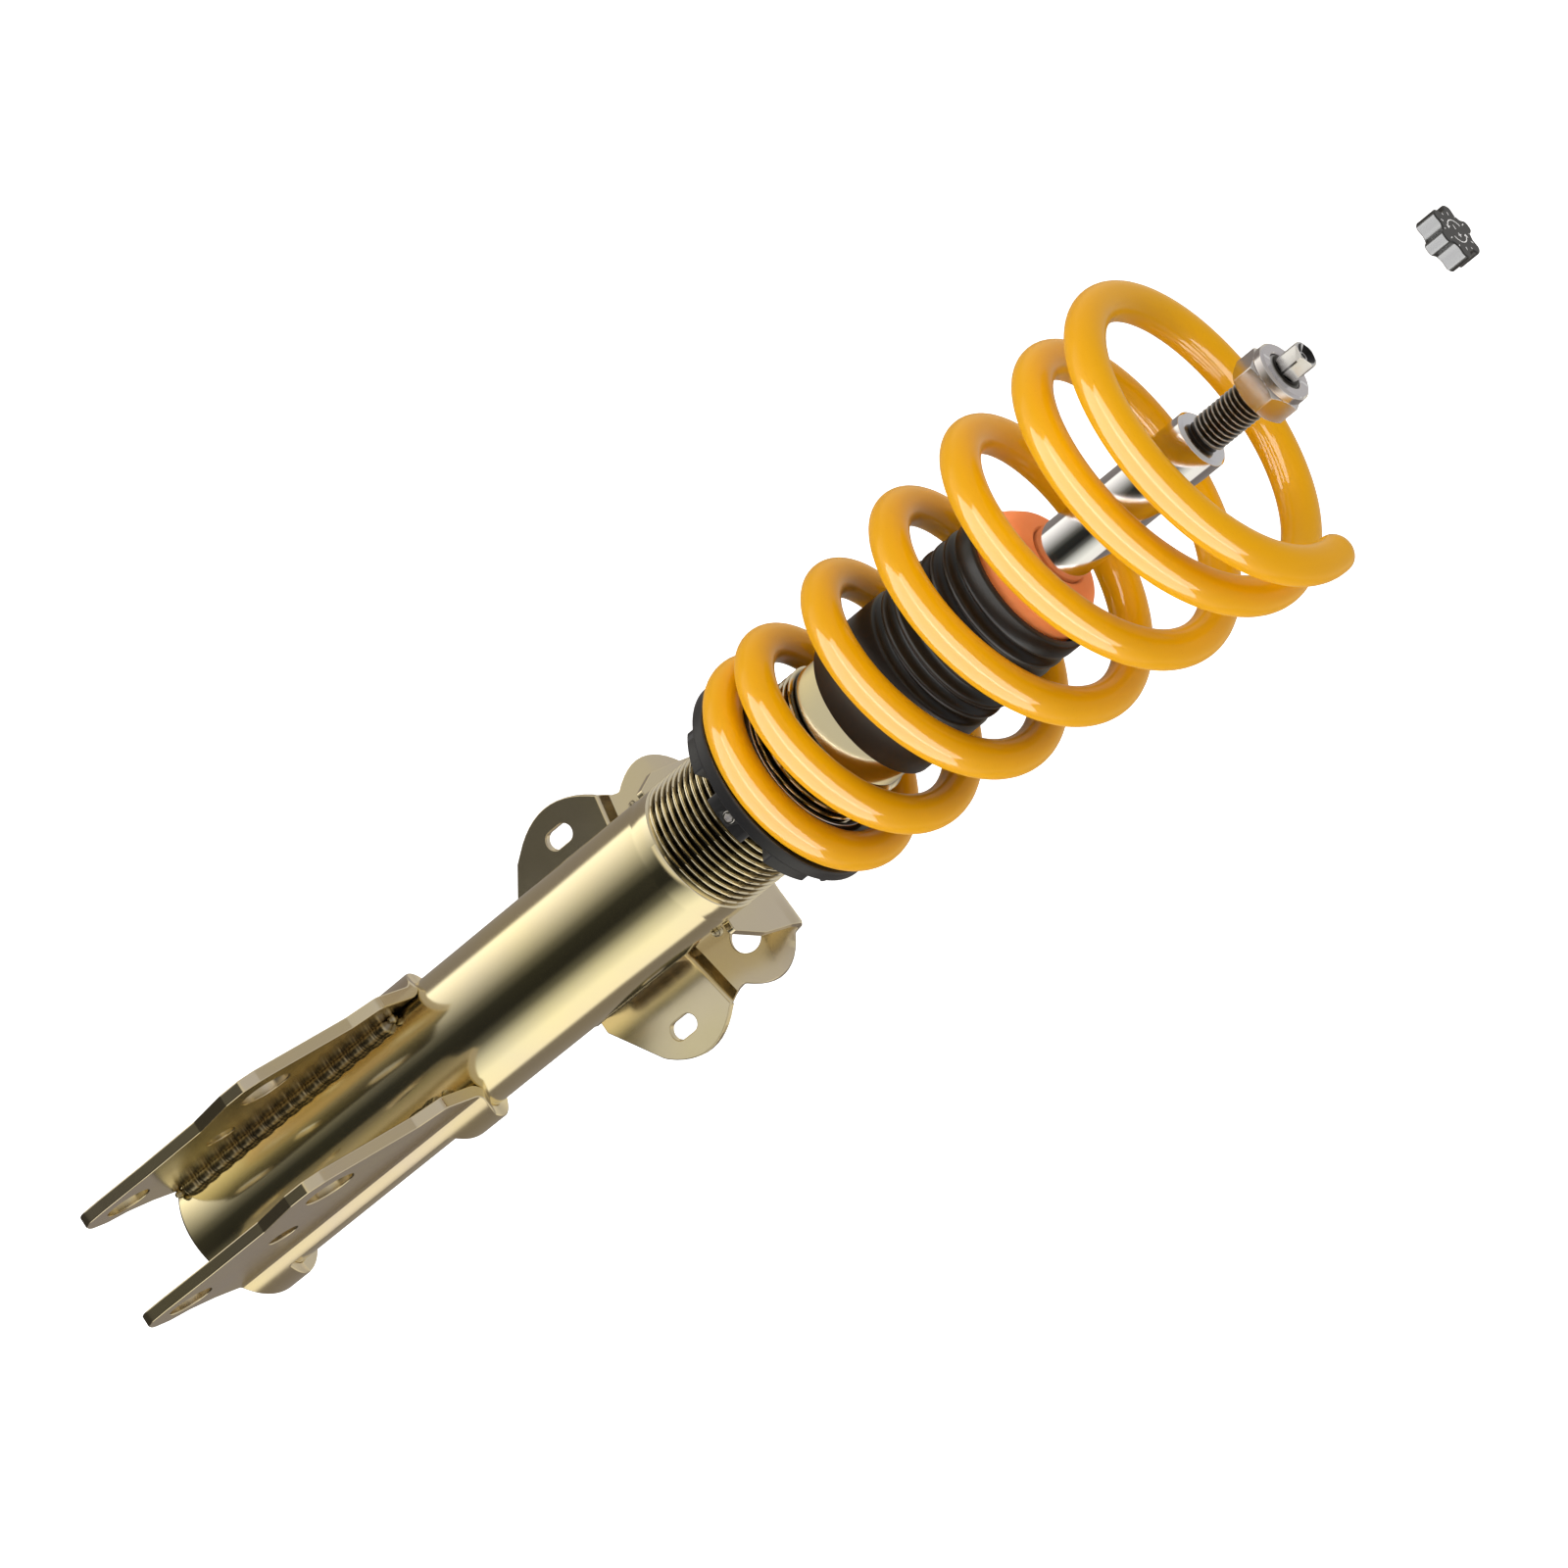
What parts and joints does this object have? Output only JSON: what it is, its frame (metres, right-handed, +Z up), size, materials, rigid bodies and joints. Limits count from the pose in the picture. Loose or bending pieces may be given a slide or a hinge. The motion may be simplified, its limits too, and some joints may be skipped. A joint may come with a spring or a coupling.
{
  "type": "coilover strut",
  "caption": "Height adjustable strut with a two-eared knuckle bracket, threaded body, spring on a seat, boot, rod and a damping knob lifted off the rod.",
  "frame": {"origin": "middle of the upper knuckle bolt hole, half way between the two ears", "axes": "+X along the knuckle bolts, +Z up the strut axis, ears towards -Y of the strut"},
  "size_m": [0.1271, 0.1438, 0.6321],
  "materials": {
    "gold_plate": "yellow zinc plating, glossy",
    "weld_plate": "plated weld bead, rippled",
    "bare_steel": "machined",
    "bronze": "plain bearing bronze",
    "seal_rubber": "moulded",
    "boot_rubber": "satin moulded rubber",
    "chrome_rod": "hard chrome, polished",
    "zinc_nut": "bright zinc",
    "knob_plastic": "matte moulded, pale dial marks",
    "stop_foam": "matte polyurethane foam skin",
    "black_anodised": "satin black anodised",
    "spring_paint": "glossy yellow powder coat"
  },
  "bodies": {
    "housing": {"strut_tube": "gold_plate", "knuckle_bracket": "gold_plate", "knuckle_welds": "weld_plate", "link_bracket": "gold_plate", "link_welds": "weld_plate", "pressure_tube": "bare_steel", "foot_valve": "bare_steel", "rod_guide": "bare_steel", "guide_bush": "bronze", "oil_seal": "seal_rubber", "gland_nut": "bare_steel", "dust_boot": "boot_rubber"},
    "rod": {"piston_rod": "chrome_rod", "rebound_stop": "seal_rubber", "shim_stack": "bare_steel", "piston": "bare_steel", "piston_band": "bronze", "piston_nut": "bare_steel", "top_nut": "zinc_nut"},
    "needle": {"adjuster_needle": "bare_steel"},
    "knob": {"adjuster_knob": "knob_plastic", "knob_pin": "bare_steel"},
    "stop": {"bump_stop": "stop_foam"},
    "seat": {"spring_seat": "black_anodised", "coil_spring": "spring_paint"},
    "ring": {"adjuster_ring": "black_anodised", "set_screw": "bare_steel", "screw_pad": "bronze"}
  },
  "joints": [
    {"name": "rod_stroke", "type": "slide", "parent": "housing", "child": "rod", "axis": [0, 0, 1], "range_m": [-0.065, 0], "stiffness_N_per_m": 60000, "springref_m": 0.003, "deforming": ["coil_spring"]},
    {"name": "perch_turn", "type": "hinge", "parent": "seat", "child": "ring", "pos_m": [0, 0.061, 0.209], "axis": [0, 0, 1], "range_deg": [-3610, 2891]},
    {"name": "perch_height", "type": "slide", "parent": "housing", "child": "seat", "axis": [0, 0, 1], "range_m": [-0.03, 0.024]},
    {"name": "bump_stop_slide", "type": "slide", "parent": "housing", "child": "stop", "axis": [0, 0, 1], "range_m": [0, 0.03], "deforming": ["dust_boot"]},
    {"name": "adjuster_turn", "type": "hinge", "parent": "rod", "child": "needle", "pos_m": [0, 0.061, 0.466], "axis": [0, 0, 1], "range_deg": [-720, 0]},
    {"name": "knob_insert", "type": "slide", "parent": "needle", "child": "knob", "axis": [0, 0, 1], "range_m": [-0.0595, 0]}
  ],
  "couplings": [
    {"joint": "perch_turn", "follows": "perch_height", "rad_per_m": 2094.4}
  ]
}
